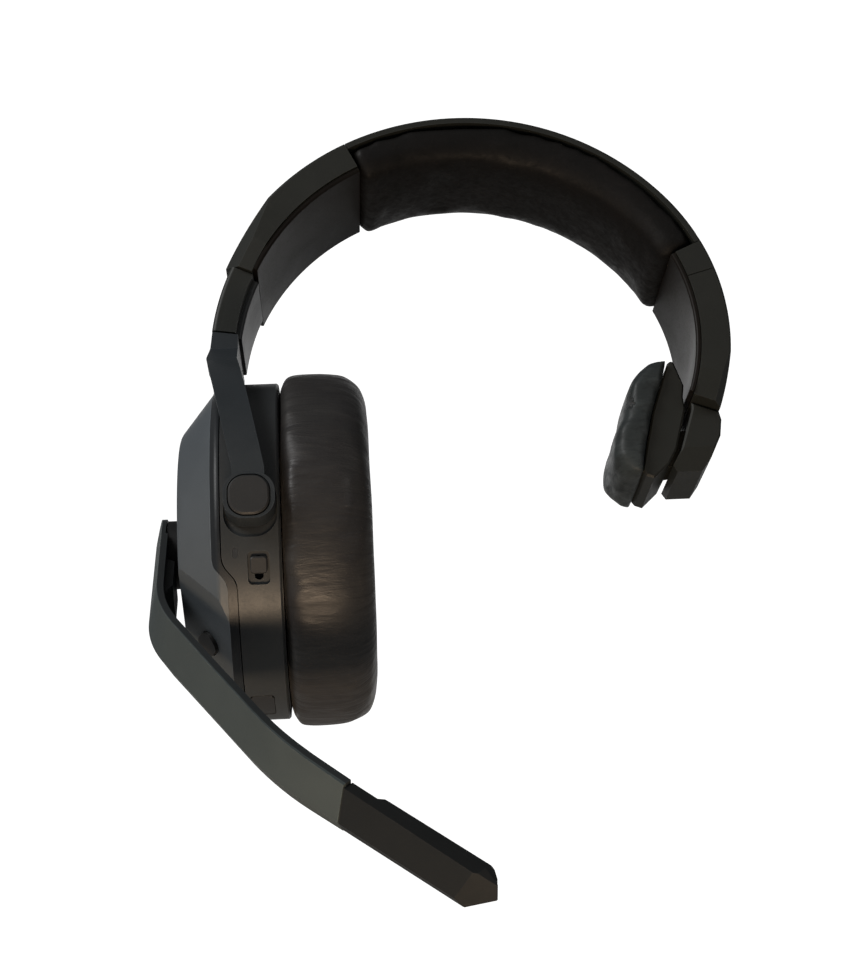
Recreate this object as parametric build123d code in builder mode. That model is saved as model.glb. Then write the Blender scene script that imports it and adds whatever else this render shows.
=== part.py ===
from build123d import *
import math
import os

os.makedirs("parts", exist_ok=True)

# Frame: as worn, +Z up, the wearer faces -Y. The ear cup is on the -X side and
# the temple pad on the +X side. The origin is the centre of the ear cushion's
# contact face and the ear cup's axis is the X axis.

# ---- ear cup
cup_seam_x = -24.0          # seam between the cushion and the housing
cushion_face_x = -1.1       # face that rests on the head
cushion_r = 46.2
cushion_hole_r = 24.0
cushion_inset = 0.3         # groove left at the seam
housing_r = 44.2
housing_wall = 2.0
parting_high_x = -38.3      # upper height of the S-shaped parting line
parting_low_x = -34.6       # lower height of the S-shaped parting line
parting_top_z = -13.5       # where the S begins
parting_bottom_z = -22.0    # where the S ends
parting_ease = 4.5
parting_gap = 0.3
cover_gap = 0.06            # between the trim ring and the outer cover
rim_band = 2.2              # height of the trim ring beside the parting line
rim_lip_reach = 1.4         # the trim ring's lip reaches this far behind the housing
rim_lip_fit = 0.15
rim_lip_wall = 1.45
plateau_x = -50.0           # outermost flat of the cover
cover_r = 43.7
dome_shoulder_x = -39.5     # where the dome starts to fall
dome_top_r = 30.8           # radius of the outermost flat
facet_point = (-49.5, 0.0, -25.5)
facet_normal = (-0.80, 0.25, -0.55)
cover_pocket_r = 33.0
cover_pocket_x = -38.5
cover_well_r = 23.0
cover_well_x = -47.0
cover_well_z = 4.0

# ---- pivots between the fork and the cup
pivot_x = -31.0
pivot_z = -1.1
pivot_pin_r = 2.4
pivot_fit = 0.05
pivot_seat_y = 42.6         # floor of the recess in the housing
recess_size = (13.2, 14.8)
recess_corner = 5.6
recess_drop = 1.0           # the recess reaches further below the pivot
eyelet_size = (12.6, 11.7)
eyelet_corner = 5.0
eyelet_in_y = 43.1
pin_in_y = 39.4
fork_inner_r = 46.2
fork_outer_r = 50.2
fork_centre_z = 1.2
fork_out_x = (-35.0, -42.4, -40.9)      # outer face at the eyelet, crease and top
fork_in_x = (-27.1, -34.4, -34.3)       # inner face at the same heights
fork_bend_z = (6.0, 46.0, 57.5)
fork_top_half = 16.6
cap_width = 9.9
cap_height = 10.0
cap_corner = 4.0
cap_groove = 0.35
cap_sink = 1.1
cap_proud = 0.6

# ---- headband: three arcs that flow into each other in the XZ plane.
# Angles are the direction of the outward normal. Radii are those of the middle
# arc, and each end arc is tighter by its ease.
band_x = 27.06
band_z = 44.49
band_r = 72.3
ease_left = 2.5
ease_right = 11.5
turn_left = 115.5
turn_right = 40.0
band_half = 19.5
seam_left = 115.5
seam_right = 24.4
split_right = 16.0
end_left = 155.0
end_right = -21.0
seam_gap = 0.25             # degrees between neighbouring covers
liner_short = 0.6           # degrees the liners stop short of the band ends
cover_in_r = 64.4
liner_out_r = 64.2
liner_in_r = 63.0
shell_in_r = 70.4
pad_out_r = 70.2
pad_in_r = 60.1
pad_half = 19.3
carrier_in_r = 67.6
carrier_half = 16.0
spring_in_r = 68.5
spring_out_r = 69.3
spring_half = 7.0
spring_fit = 0.15
spring_reach = 5.0          # degrees the spring runs into each end
facet_left = (19.0, 5.0, 1.2)       # degrees covered, fall of the side edge, fall of the outer face
facet_right = (15.3, 2.6, 0.0)
facet_inset = 5.0
face_facet_reach = 8.0      # degrees covered by the shallow bevel on the side face
face_facet_depth = 1.3

# ---- sliding strips
strip_in_r = 66.9
strip_out_r = 68.1
strip_half = 7.0
strip_fit = 0.15
strip_inside = 26.0         # degrees of strip inside the band end
strip_outside = 9.0
slider_end = 171.5
slider_out_r = 70.4
slider_split_r = 64.0
slider_in_r = 62.6
slider_half = 17.0
slider_in_half = 13.0
swivel_r = 66.7
swivel_gap = 0.35
swivel_pin_r = 2.2
swivel_fit = 0.05

# ---- boom, drawn in its own plane that drops forwards from the ear
boom_drop = 50.3
boom_hub_r = 9.5
boom_out_x = -58.6
boom_thickness = 4.6
boom_straight = 26.0
boom_bend_1_r = 36.0
boom_bend_1 = 29.5
boom_arm = 40.5             # straight run between the two bends
boom_bend_2_r = 105.0
boom_bend_2 = 13.5
boom_tail = 10.0            # straight run before the microphone joint
boom_crest = -3.0           # ridge of the roof-shaped outer face, off the middle line
boom_front_fall = 13.5      # slope of the broad front plane
boom_back_fall = 26.0       # slope of the narrow lower plane
boom_split = 3.0            # depth of the outer shell, where the wire runs
boom_hub_in_x = -54.6
boom_clear = 14.0           # half-width of the tool that shapes the boom's roof
hub_step_r = 10.2
boss_run = (10.5, 27.0)     # raised boss on the back, between the hub and the first bend
boss_in_x = -52.1
boss_half = 6.0
hub_plate_r = 9.0
hub_plate_x = -54.3
axle_r = 3.6
axle_fit = 0.05
axle_end_x = -45.7
clip_r = 5.8
clip_x = (-46.8, -46.0)
wire_r = 0.5
wire_channel = 0.65
wire_bend = 2.0
wire_start_x = -45.9
wire_end = 18.0             # run of the wire inside the microphone module

# ---- microphone module at the end of the boom
mic_length = 43.2
mic_joint_gap = 0.3
mic_body_t = 4.8
mic_raise = 2.4
mic_raise_start = 5.5
mic_half = 5.7              # half-width at the joint
mic_tip_half = 5.0
mic_nose = 8.0              # length of the sloping end
mic_port_s = 31.0           # distance of the sound port from the joint

# ---- temple arm, bracket and pad
arm_half = 13.0
temple_edge = 0.5
arm_out_r = 72.3
arm_in_r = 64.7
temple_pin = (86.2, 25.0)
temple_pin_r = 1.5
temple_pin_length = 21.8
temple_fit = 0.05
lug_r = 2.6
lug_half = 5.5
lug_fit = 0.4
bracket_half = 13.0
pad_depth = 32.0

cos_drop = math.cos(math.radians(boom_drop))
sin_drop = math.sin(math.radians(boom_drop))
boom_dir = (0, -cos_drop, -sin_drop)
boom_side = Plane(origin=(0, 0, 0), x_dir=boom_dir, z_dir=(0, -sin_drop, cos_drop))


def save(part, name):
    part.label = name
    export_step(part, "parts/" + name + ".step")


def boom_plan(x):
    return Plane(origin=(x, 0, 0), x_dir=boom_dir, z_dir=(1, 0, 0))


def band_ease(angle):
    if angle > turn_left:
        return ease_left, turn_left
    if angle < turn_right:
        return ease_right, turn_right
    return 0.0, turn_right


def band_centre(angle):
    ease, turn = band_ease(angle)
    return (band_x + ease * math.cos(math.radians(turn)),
            band_z + ease * math.sin(math.radians(turn)))


def band_point(radius, angle):
    centre = band_centre(angle)
    r = radius - band_ease(angle)[0]
    a = math.radians(angle)
    return (centre[0] + r * math.cos(a), centre[1] + r * math.sin(a))


def sector_solid(r_in, r_out, a_from, a_to, half, mode=Mode.ADD):
    turns = [a for a in (turn_right, turn_left) if a_from < a < a_to]
    stops = [a_from] + turns + [a_to]
    with BuildSketch(Plane.XZ) as profile:
        with BuildLine():
            for start, stop in zip(stops[:-1], stops[1:]):
                middle = (start + stop) / 2
                for radius in (r_in, r_out):
                    CenterArc(band_centre(middle), radius - band_ease(middle)[0], start, stop - start)
            Line(band_point(r_in, a_from), band_point(r_out, a_from))
            Line(band_point(r_in, a_to), band_point(r_out, a_to))
        make_face()
    extrude(profile.sketch, amount=half, both=True, mode=mode)


def long_edges(part, radius):
    radii = (radius, radius - ease_left, radius - ease_right)
    return [
        e for e in part.edges().filter_by(GeomType.CIRCLE)
        if min(abs(e.radius - r) for r in radii) < 0.01 and abs(e.normal().Y) > 0.99
        and e.length > 5
    ]


def cut_beyond_parting(shift, x_far):
    with BuildSketch(Plane.XZ) as region:
        with BuildLine():
            Line((parting_high_x + shift, 50), (parting_high_x + shift, parting_top_z))
            Bezier(
                (parting_high_x + shift, parting_top_z),
                (parting_high_x + shift, parting_top_z - parting_ease),
                (parting_low_x + shift, parting_bottom_z + parting_ease),
                (parting_low_x + shift, parting_bottom_z),
            )
            Polyline(
                (parting_low_x + shift, parting_bottom_z),
                (parting_low_x + shift, -50),
                (x_far, -50),
                (x_far, 50),
                (parting_high_x + shift, 50),
            )
        make_face()
    extrude(region.sketch, amount=60, both=True, mode=Mode.SUBTRACT)


def rim_plane(x, angle, radius):
    a = math.radians(angle)
    normal = (0, -math.cos(a), -math.sin(a))
    origin = (x, radius * normal[1], radius * normal[2])
    return Plane(origin=origin, x_dir=(1, 0, 0), z_dir=normal)


def facet_plane(side, inset=0.0):
    n = Vector(facet_normal[0], side * facet_normal[1], facet_normal[2]).normalized()
    return Plane(origin=Vector(*facet_point) - n * inset, z_dir=n)


def rounded_block(size, corner, z, y_from, y_to, mode=Mode.ADD):
    with BuildSketch(Plane.XZ.offset(-y_from)) as outline:
        with Locations((pivot_x, z)):
            RectangleRounded(size[0], size[1], corner)
    extrude(outline.sketch, amount=y_from - y_to, mode=mode)


def dome_solid(radius, mode=Mode.ADD):
    with BuildSketch(Plane.XZ) as section:
        with BuildLine():
            Polyline(
                (cup_seam_x, 0), (cup_seam_x, radius), (dome_shoulder_x, radius),
                (plateau_x, dome_top_r), (plateau_x, 0), (cup_seam_x, 0),
            )
        make_face()
        shoulder = section.vertices().sort_by_distance((dome_shoulder_x, radius, 0))[0]
        fillet(shoulder, radius=1.4)
        rim = section.vertices().sort_by_distance((plateau_x, dome_top_r, 0))[0]
        fillet(rim, radius=5.0)
    revolve(section.sketch, axis=Axis.X, mode=mode)


# ---------------------------------------------------------------- ear cup

power_plane = rim_plane(-29.4, 22.3, housing_r)
led_plane = rim_plane(-35.0, 17.3, housing_r)
usb_angle = 80.0
usb_plane = rim_plane(-30.5, usb_angle, housing_r)
volume_up_plane = rim_plane(-30.0, 152.0, housing_r)
volume_down_plane = rim_plane(-30.0, 137.0, housing_r)
power_slot = (5.4, 8.2)
power_slot_depth = 1.2
power_knob_size = 4.2
power_rest = 0.7            # the knob stands this far towards its upper stop
power_travel = 2.4
power_stem = 1.8
power_stem_run = 6.0
usb_lid = (6.2, 12.4)
usb_lid_depth = 1.3
volume_size = (4.4, 7.6)
screw_r = 1.2
screw_circle_r = 38.6
screw_head_r = 2.0
usb_hinge_y = 5.5
usb_hinge_depth = -0.68
usb_knuckle_r = 0.57
function_plane = Plane(
    origin=(-43.4, -14.0, -28.0),
    x_dir=(0.25, -0.80, 0),
    z_dir=(facet_normal[0], -facet_normal[1], facet_normal[2]),
)
function_size = (9.4, 5.9)

with BuildPart() as cup_housing:
    with BuildSketch(Plane.YZ.offset(cup_seam_x)):
        Circle(housing_r)
        Circle(housing_r - housing_wall, mode=Mode.SUBTRACT)
    extrude(amount=parting_high_x - cup_seam_x)
    seam_edges = cup_housing.edges().filter_by(GeomType.CIRCLE).group_by(Axis.X)[-1]
    chamfer(seam_edges.sort_by(SortBy.RADIUS)[-1], 0.4)
    with BuildSketch(Plane.YZ.offset(cup_seam_x - 2)):
        Circle(housing_r - housing_wall + 0.2)
        Circle(37.0, mode=Mode.SUBTRACT)
    extrude(amount=-2)
    for side in (-1, 1):
        with Locations((pivot_x, side * (pivot_seat_y - 1.5), pivot_z)):
            Box(13.8, 3.0, 18.0)
    for plane, size in ((usb_plane, (9.0, 15.0)), (power_plane, (8.5, 11.0)),
                        (volume_up_plane, (7.5, 10.5)), (volume_down_plane, (7.5, 10.5))):
        with BuildSketch(plane.offset(-1.6)):
            Rectangle(*size)
        extrude(amount=-1.6)
    for side in (-1, 1):
        rounded_block(recess_size, recess_corner, pivot_z - recess_drop,
                      side * pivot_seat_y, side * (housing_r + 2), Mode.SUBTRACT)
        with Locations((pivot_x, side * (pivot_seat_y - 2), pivot_z)):
            Cylinder(pivot_pin_r + pivot_fit, 8, rotation=(90, 0, 0), mode=Mode.SUBTRACT)
    cut_beyond_parting(0, -70)
    with BuildSketch(power_plane.offset(1.0)):
        RectangleRounded(power_slot[0], power_slot[1], 1.2)
    extrude(amount=-1.0 - power_slot_depth, mode=Mode.SUBTRACT)
    with BuildSketch(power_plane):
        SlotOverall(power_stem_run, 2.2, rotation=90)
    extrude(amount=-5, mode=Mode.SUBTRACT)
    with BuildSketch(Plane.YZ.offset(cup_seam_x - 2)):
        Circle(housing_r - housing_wall - 0.15)
    extrude(amount=3, mode=Mode.SUBTRACT)
    with BuildSketch(power_plane.offset(-3.2)):
        Rectangle(7.0, 10.4)
    extrude(amount=-5, mode=Mode.SUBTRACT)
    with BuildSketch(usb_plane.offset(-3.2)):
        Rectangle(3.8, 9.8)
    extrude(amount=-7, mode=Mode.SUBTRACT)
    with BuildSketch(Plane.YZ.offset(cup_seam_x - 5)):
        with PolarLocations(screw_circle_r, 4, start_angle=45):
            Circle(screw_r)
    extrude(amount=5, mode=Mode.SUBTRACT)
    with BuildSketch(led_plane.offset(1.0)):
        SlotOverall(2.6, 1.4, rotation=90)
    extrude(amount=-4, mode=Mode.SUBTRACT)
    with BuildSketch(usb_plane.offset(1.0)):
        RectangleRounded(usb_lid[0], usb_lid[1], 1.2)
    extrude(amount=-1.0 - usb_lid_depth, mode=Mode.SUBTRACT)
    with BuildSketch(usb_plane):
        SlotOverall(9.3, 3.6, rotation=90)
    extrude(amount=-5, mode=Mode.SUBTRACT)
    for plane in (volume_up_plane, volume_down_plane):
        with BuildSketch(plane.offset(1.0)):
            RectangleRounded(volume_size[0], volume_size[1], 1.6)
        extrude(amount=-2.4, mode=Mode.SUBTRACT)
        with BuildSketch(plane):
            Circle(1.25)
        extrude(amount=-5, mode=Mode.SUBTRACT)
save(cup_housing.part, "cup_housing")

with BuildPart() as rim_lip:
    with BuildSketch(Plane.YZ.offset(parting_low_x + rim_lip_reach)):
        Circle(housing_r - housing_wall - rim_lip_fit)
        Circle(housing_r - housing_wall - rim_lip_fit - rim_lip_wall, mode=Mode.SUBTRACT)
    extrude(amount=parting_high_x - parting_low_x - rim_lip_reach - 3)
    for side in (-1, 1):
        with Locations((pivot_x, side * housing_r, pivot_z)):
            Box(16, 12, 22, mode=Mode.SUBTRACT)
    for plane in (usb_plane, power_plane, led_plane, volume_up_plane, volume_down_plane):
        with Locations(plane):
            Box(9.6, 15.6, 24, mode=Mode.SUBTRACT)
    cut_beyond_parting(rim_lip_reach, 10)
    cut_beyond_parting(-parting_gap - rim_band, -70)

with BuildPart() as cup_rim:
    with BuildSketch(Plane.YZ.offset(parting_low_x)):
        Circle(housing_r - 0.3)
        Circle(housing_r - housing_wall, mode=Mode.SUBTRACT)
    extrude(amount=parting_high_x - parting_low_x - 3)
    dome_solid(housing_r - 0.3, Mode.INTERSECT)
    cut_beyond_parting(-parting_gap, 10)
    cut_beyond_parting(-parting_gap - rim_band, -70)
    add(rim_lip.part)
save(cup_rim.part, "cup_rim")

with BuildPart() as outer_cover:
    dome_solid(cover_r)
    cut_beyond_parting(-parting_gap - rim_band - cover_gap, 10)
    for side in (-1, 1):
        with BuildSketch(facet_plane(side)):
            Rectangle(120, 120)
        extrude(amount=25, mode=Mode.SUBTRACT)
    with BuildSketch(Plane.YZ.offset(-30)):
        Circle(cover_pocket_r)
    extrude(amount=cover_pocket_x + 30, mode=Mode.SUBTRACT)
    with BuildSketch(Plane.YZ.offset(-30)):
        with Locations((0, cover_well_z)):
            Circle(cover_well_r)
    extrude(amount=cover_well_x + 30, mode=Mode.SUBTRACT)
    with BuildSketch(Plane.YZ.offset(plateau_x - 1)):
        Circle(axle_r + axle_fit)
    extrude(amount=5, mode=Mode.SUBTRACT)
    with BuildSketch(function_plane.offset(1)):
        SlotOverall(function_size[0] + 0.5, function_size[1] + 0.5)
    extrude(amount=-6, mode=Mode.SUBTRACT)
save(outer_cover.part, "outer_cover")

with BuildPart() as baffle_plate:
    with BuildSketch(Plane.YZ.offset(cup_seam_x - 2)):
        Circle(housing_r - housing_wall - 0.25)
        Circle(1.4, mode=Mode.SUBTRACT)
        with PolarLocations(6.0, 6):
            Circle(1.4, mode=Mode.SUBTRACT)
        with PolarLocations(12.0, 12):
            Circle(1.4, mode=Mode.SUBTRACT)
        with PolarLocations(screw_circle_r, 4, start_angle=45):
            Circle(screw_r, mode=Mode.SUBTRACT)
    extrude(amount=1.4)
    with BuildSketch(Plane.YZ.offset(cup_seam_x - 1.4)):
        with PolarLocations(screw_circle_r, 4, start_angle=45):
            Circle(screw_head_r, mode=Mode.ADD)
    extrude(amount=1.0, mode=Mode.SUBTRACT)
save(baffle_plate.part, "baffle_plate")

with BuildPart() as cup_screws:
    with BuildSketch(Plane.YZ.offset(cup_seam_x - 4)):
        with PolarLocations(screw_circle_r, 4, start_angle=45):
            Circle(screw_r)
    extrude(amount=2.6)
    with BuildSketch(Plane.YZ.offset(cup_seam_x - 1.4)):
        with PolarLocations(screw_circle_r, 4, start_angle=45):
            Circle(screw_head_r)
    extrude(amount=0.75)
save(cup_screws.part, "cup_screws")

with BuildPart() as driver_basket:
    with BuildSketch(Plane.YZ.offset(cup_seam_x - 2)):
        Circle(20.0)
        Circle(17.5, mode=Mode.SUBTRACT)
    extrude(amount=-5.0)
    with BuildSketch(Plane.YZ.offset(cup_seam_x - 6)):
        Circle(20.0)
        Circle(9.4, mode=Mode.SUBTRACT)
        with PolarLocations(13.5, 6):
            Circle(1.6, mode=Mode.SUBTRACT)
    extrude(amount=-1.2)
save(driver_basket.part, "driver_basket")

with BuildPart() as driver_magnet:
    with BuildSketch(Plane.YZ.offset(cup_seam_x - 5.5)):
        Circle(9.4)
    extrude(amount=-5.5)
save(driver_magnet.part, "driver_magnet")

with BuildPart() as driver_diaphragm:
    with BuildSketch(Plane.YZ.offset(cup_seam_x - 3.0)):
        Circle(17.5)
    extrude(amount=-0.4)
save(driver_diaphragm.part, "driver_diaphragm")

with BuildPart() as speaker_cloth:
    with BuildSketch(Plane.YZ.offset(cup_seam_x - 0.6)):
        Circle(24.8)
    extrude(amount=0.3)
save(speaker_cloth.part, "speaker_cloth")

with BuildPart() as cushion_ring:
    with BuildSketch(Plane.YZ.offset(cup_seam_x - 0.6)):
        Circle(housing_r - housing_wall - 0.4)
        Circle(25.0, mode=Mode.SUBTRACT)
    extrude(amount=0.85)
save(cushion_ring.part, "cushion_ring")

with BuildPart() as ear_cushion:
    with BuildSketch(Plane.XZ) as cushion_section:
        with Locations(((cup_seam_x + cushion_inset + cushion_face_x) / 2, (cushion_r + cushion_hole_r) / 2)):
            Rectangle(cushion_face_x - cup_seam_x - cushion_inset, cushion_r - cushion_hole_r)
        fillet(cushion_section.vertices().sort_by(Axis.X)[-2:], radius=8.5)
        fillet(cushion_section.vertices().sort_by(Axis.X)[:2], radius=1.6)
    revolve(axis=Axis.X)
save(ear_cushion.part, "ear_cushion")

with BuildPart() as main_board:
    with BuildSketch(Plane.YZ.offset(cup_seam_x - 11)):
        with Locations((0, 5)):
            RectangleRounded(42, 38, 4)
    extrude(amount=-1.2)
save(main_board.part, "main_board")

with BuildPart() as battery:
    with BuildSketch(Plane.YZ.offset(cup_seam_x - 12.2)):
        with Locations((0, 6)):
            RectangleRounded(30, 22, 2)
    extrude(amount=-5.0)
save(battery.part, "battery")

with BuildPart() as usb_port:
    with BuildSketch(usb_plane.offset(-1.5)):
        SlotOverall(8.94, 3.26, rotation=90)
        SlotOverall(8.3, 2.6, rotation=90, mode=Mode.SUBTRACT)
    extrude(amount=-6.5)
    with BuildSketch(usb_plane.offset(-2.2)):
        Rectangle(0.7, 6.7)
    extrude(amount=-6.6)
    with BuildSketch(usb_plane.offset(-8.0)):
        SlotOverall(8.94, 3.26, rotation=90)
    extrude(amount=-0.8)
save(usb_port.part, "usb_port")

with BuildPart() as usb_cover:
    with BuildSketch(usb_plane.offset(-usb_lid_depth + 0.05)):
        with Locations((0, -0.2)):
            RectangleRounded(usb_lid[0] - 0.4, 2 * usb_hinge_y, 1.0)
    extrude(amount=usb_lid_depth + 1)
    with Locations(Plane(
        origin=usb_plane.from_local_coords((0, usb_hinge_y - 0.2, usb_hinge_depth)),
        z_dir=(1, 0, 0),
    )):
        Cylinder(usb_knuckle_r, usb_lid[0] - 1.4)
    with BuildSketch(Plane.YZ.offset(-60)):
        Circle(housing_r - 0.05)
    extrude(amount=60, mode=Mode.INTERSECT)
save(usb_cover.part, "usb_cover")

with BuildPart() as power_switch:
    with BuildSketch(power_plane.offset(-3.3)):
        RectangleRounded(6.4, 9.4, 0.5)
    extrude(amount=-3.0)
    with BuildSketch(power_plane.offset(-3.3)):
        Rectangle(2.0, power_stem_run)
    extrude(amount=-1.5, mode=Mode.SUBTRACT)
save(power_switch.part, "power_switch")

with BuildPart() as power_knob:
    with BuildSketch(power_plane.offset(-power_slot_depth + 0.05)):
        with Locations((0, power_rest)):
            RectangleRounded(power_knob_size, power_knob_size, 0.9)
    extrude(amount=1.25)
    with BuildSketch(power_plane.offset(-4.6)):
        with Locations((0, power_rest)):
            Rectangle(power_stem, power_stem)
    extrude(amount=3.6)
    chamfer(power_knob.faces().sort_by(Axis(power_plane.origin, power_plane.z_dir))[-1].edges(), 0.3)
save(power_knob.part, "power_knob")

with BuildPart() as status_led:
    with BuildSketch(led_plane.offset(-0.1)):
        SlotOverall(2.5, 1.3, rotation=90)
    extrude(amount=-2.1)
    with BuildSketch(led_plane.offset(-2.2)):
        RectangleRounded(2.4, 3.4, 0.4)
    extrude(amount=-1.0)
save(status_led.part, "status_led")

for plane, name in ((volume_up_plane, "volume_up_button"), (volume_down_plane, "volume_down_button")):
    with BuildPart() as volume_button:
        with BuildSketch(plane.offset(-0.7)):
            RectangleRounded(volume_size[0] - 0.4, volume_size[1] - 0.4, 1.4)
        extrude(amount=1.3)
        with BuildSketch(plane.offset(-4.2)):
            Circle(1.2)
        extrude(amount=3.6)
    save(volume_button.part, name)

with BuildPart() as function_button:
    with BuildSketch(function_plane.offset(-1.6)):
        SlotOverall(*function_size)
    extrude(amount=2.5)
save(function_button.part, "function_button")

# ---------------------------------------------------------------- boom


def boom_line(depth, start, tail):
    flat = Line((start, boom_out_x + depth), (boom_straight, boom_out_x + depth))
    bend_1 = JernArc(flat @ 1, flat % 1, boom_bend_1_r - depth, boom_bend_1)
    arm = Line(bend_1 @ 1, (bend_1 @ 1) + (bend_1 % 1) * boom_arm)
    bend_2 = JernArc(arm @ 1, arm % 1, boom_bend_2_r - depth, boom_bend_2)
    end = Line(bend_2 @ 1, (bend_2 @ 1) + (bend_2 % 1) * tail)
    return flat @ 0, end @ 1


def boom_region(depth_from, depth_to):
    with BuildSketch(boom_side) as profile:
        with BuildLine():
            outer = boom_line(depth_from, -boom_hub_r, boom_tail)
            inner = boom_line(depth_to, -boom_hub_r, boom_tail)
            Line(outer[0], inner[0])
            Line(outer[1], inner[1])
        make_face()
    extrude(profile.sketch, amount=boom_hub_r + 2, both=True)
    with BuildSketch(boom_plan(-65)) as plan:
        Circle(boom_hub_r)
        Polygon(
            (1.0, 9.45), (26.0, 9.2), (42.0, 8.5), (58.0, 7.7), (78.0, 7.4), (92.0, 7.0), (112.0, 5.9),
            (112.0, -5.9), (92.0, -7.2), (78.0, -7.7), (58.0, -8.0), (42.0, -8.6), (26.0, -9.2), (1.0, -9.45),
            align=None,
        )
    extrude(plan.sketch, amount=90, mode=Mode.INTERSECT)


def roof_outline():
    front = (boom_clear - boom_crest) * math.tan(math.radians(boom_front_fall))
    back = (boom_clear + boom_crest) * math.tan(math.radians(boom_back_fall))
    Polygon(
        (boom_crest, 0), (boom_clear, -front), (boom_clear, 3), (-boom_clear, 3), (-boom_clear, -back),
        align=None,
    )


tail_angle = boom_bend_1 + boom_bend_2
sin_1 = math.sin(math.radians(boom_bend_1))
cos_1 = math.cos(math.radians(boom_bend_1))
sin_2 = math.sin(math.radians(tail_angle))
cos_2 = math.cos(math.radians(tail_angle))
joint_run = (boom_straight + boom_bend_1_r * sin_1 + boom_arm * cos_1
             + boom_bend_2_r * (sin_2 - sin_1) + boom_tail * cos_2)
joint_x = (boom_out_x + boom_bend_1_r * (1 - cos_1) + boom_arm * sin_1
           + boom_bend_2_r * (cos_1 - cos_2) + boom_tail * sin_2)
mic_dir = (sin_2, -cos_drop * cos_2, -sin_drop * cos_2)
mic_side = Plane(
    origin=(joint_x, -cos_drop * joint_run, -sin_drop * joint_run),
    x_dir=mic_dir,
    z_dir=boom_side.z_dir,
)
mic_top = Plane(origin=mic_side.origin, x_dir=mic_dir, z_dir=mic_side.y_dir)
mic_section = Plane(origin=mic_side.origin, x_dir=boom_side.z_dir, z_dir=mic_dir)

with BuildPart() as roof_tool:
    with BuildLine() as roof_path:
        boom_line(0, -boom_hub_r - 1, boom_tail + 1)
    with BuildSketch(Plane(
        origin=boom_side.from_local_coords((-boom_hub_r - 1, boom_out_x, 0)),
        x_dir=boom_side.z_dir,
        z_dir=boom_dir,
    )) as roof_section:
        roof_outline()
    sweep(roof_section.sketch, path=roof_path.line.moved(boom_side.location))

with BuildPart() as mic_roof_tool:
    with BuildSketch(mic_section):
        roof_outline()
    extrude(amount=mic_length + 5)


def wire_solid(radius):
    with BuildPart() as wire:
        with BuildLine() as path:
            Line((0, wire_start_x), (0, boom_out_x + boom_split + wire_bend))
            JernArc((0, boom_out_x + boom_split + wire_bend), (0, -1), wire_bend, 90)
            boom_line(boom_split, wire_bend, boom_tail + wire_end)
        with BuildSketch(Plane(origin=(wire_start_x, 0, 0), z_dir=(-1, 0, 0))) as section:
            Circle(radius)
        sweep(section.sketch, path=path.line.moved(boom_side.location))
    return wire.part


wire_space = wire_solid(wire_channel)

with BuildPart() as boom_shell:
    boom_region(0, boom_split - 0.02)
    add(roof_tool.part, mode=Mode.SUBTRACT)
    add(wire_space, mode=Mode.SUBTRACT)
save(boom_shell.part, "boom_shell")

with BuildPart() as boom_back:
    boom_region(boom_split, boom_thickness)
    add(roof_tool.part, mode=Mode.SUBTRACT)
    with BuildSketch(Plane.YZ.offset(boom_hub_in_x)):
        Circle(hub_step_r)
    extrude(amount=6, mode=Mode.SUBTRACT)
    with BuildSketch(Plane.YZ.offset(boom_hub_in_x - 0.6)):
        Circle(axle_r)
    extrude(amount=axle_end_x - boom_hub_in_x + 0.6)
    with BuildSketch(boom_side) as boss_side:
        Polygon(
            (boss_run[0], boom_out_x + boom_thickness - 0.6), (boss_run[1], boom_out_x + boom_thickness - 0.6),
            (boss_run[1] - 4.0, boss_in_x), (boss_run[0] + 1.5, boss_in_x),
            align=None,
        )
    extrude(boss_side.sketch, amount=boss_half, both=True)
    add(wire_space, mode=Mode.SUBTRACT)
save(boom_back.part, "boom_back")

boom_wire = wire_solid(wire_r)
save(boom_wire, "boom_wire")

with BuildPart() as axle_clip:
    with BuildSketch(Plane.YZ.offset(clip_x[0])):
        Circle(clip_r)
        Circle(axle_r, mode=Mode.SUBTRACT)
        with Locations((0, -clip_r / 2 - 1)):
            Rectangle(2.4, clip_r, mode=Mode.SUBTRACT)
    extrude(amount=clip_x[1] - clip_x[0])
save(axle_clip.part, "axle_clip")

with BuildPart() as hub_plate:
    with BuildSketch(Plane.YZ.offset(hub_plate_x)):
        Circle(hub_plate_r)
        Circle(axle_r + axle_fit, mode=Mode.SUBTRACT)
    extrude(amount=plateau_x - hub_plate_x)
save(hub_plate.part, "hub_plate")

with BuildPart() as mic_body:
    with BuildSketch(mic_side):
        Polygon(
            (mic_joint_gap, 0), (mic_length - mic_nose, 0), (mic_length, mic_body_t - 0.4),
            (mic_length, mic_body_t), (mic_joint_gap, mic_body_t),
            align=None,
        )
    extrude(amount=mic_half, both=True)
    with BuildSketch(mic_top.offset(-2)):
        Polygon(
            (0, mic_half), (mic_length - 6, mic_tip_half), (mic_length, mic_tip_half - 3.4),
            (mic_length, 2.4 - mic_tip_half), (mic_length - 3.5, -mic_tip_half), (0, -mic_half),
            align=None,
        )
    extrude(amount=12, mode=Mode.INTERSECT)
    add(mic_roof_tool.part, mode=Mode.SUBTRACT)
    with BuildSketch(mic_top.offset(mic_body_t)):
        with Locations(((mic_raise_start + mic_length) / 2 - 1, 0)):
            RectangleRounded(mic_length - mic_raise_start - 10, 5.6, 1.0)
    extrude(amount=-2.6, mode=Mode.SUBTRACT)
    add(wire_space, mode=Mode.SUBTRACT)
save(mic_body.part, "mic_body")

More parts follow.
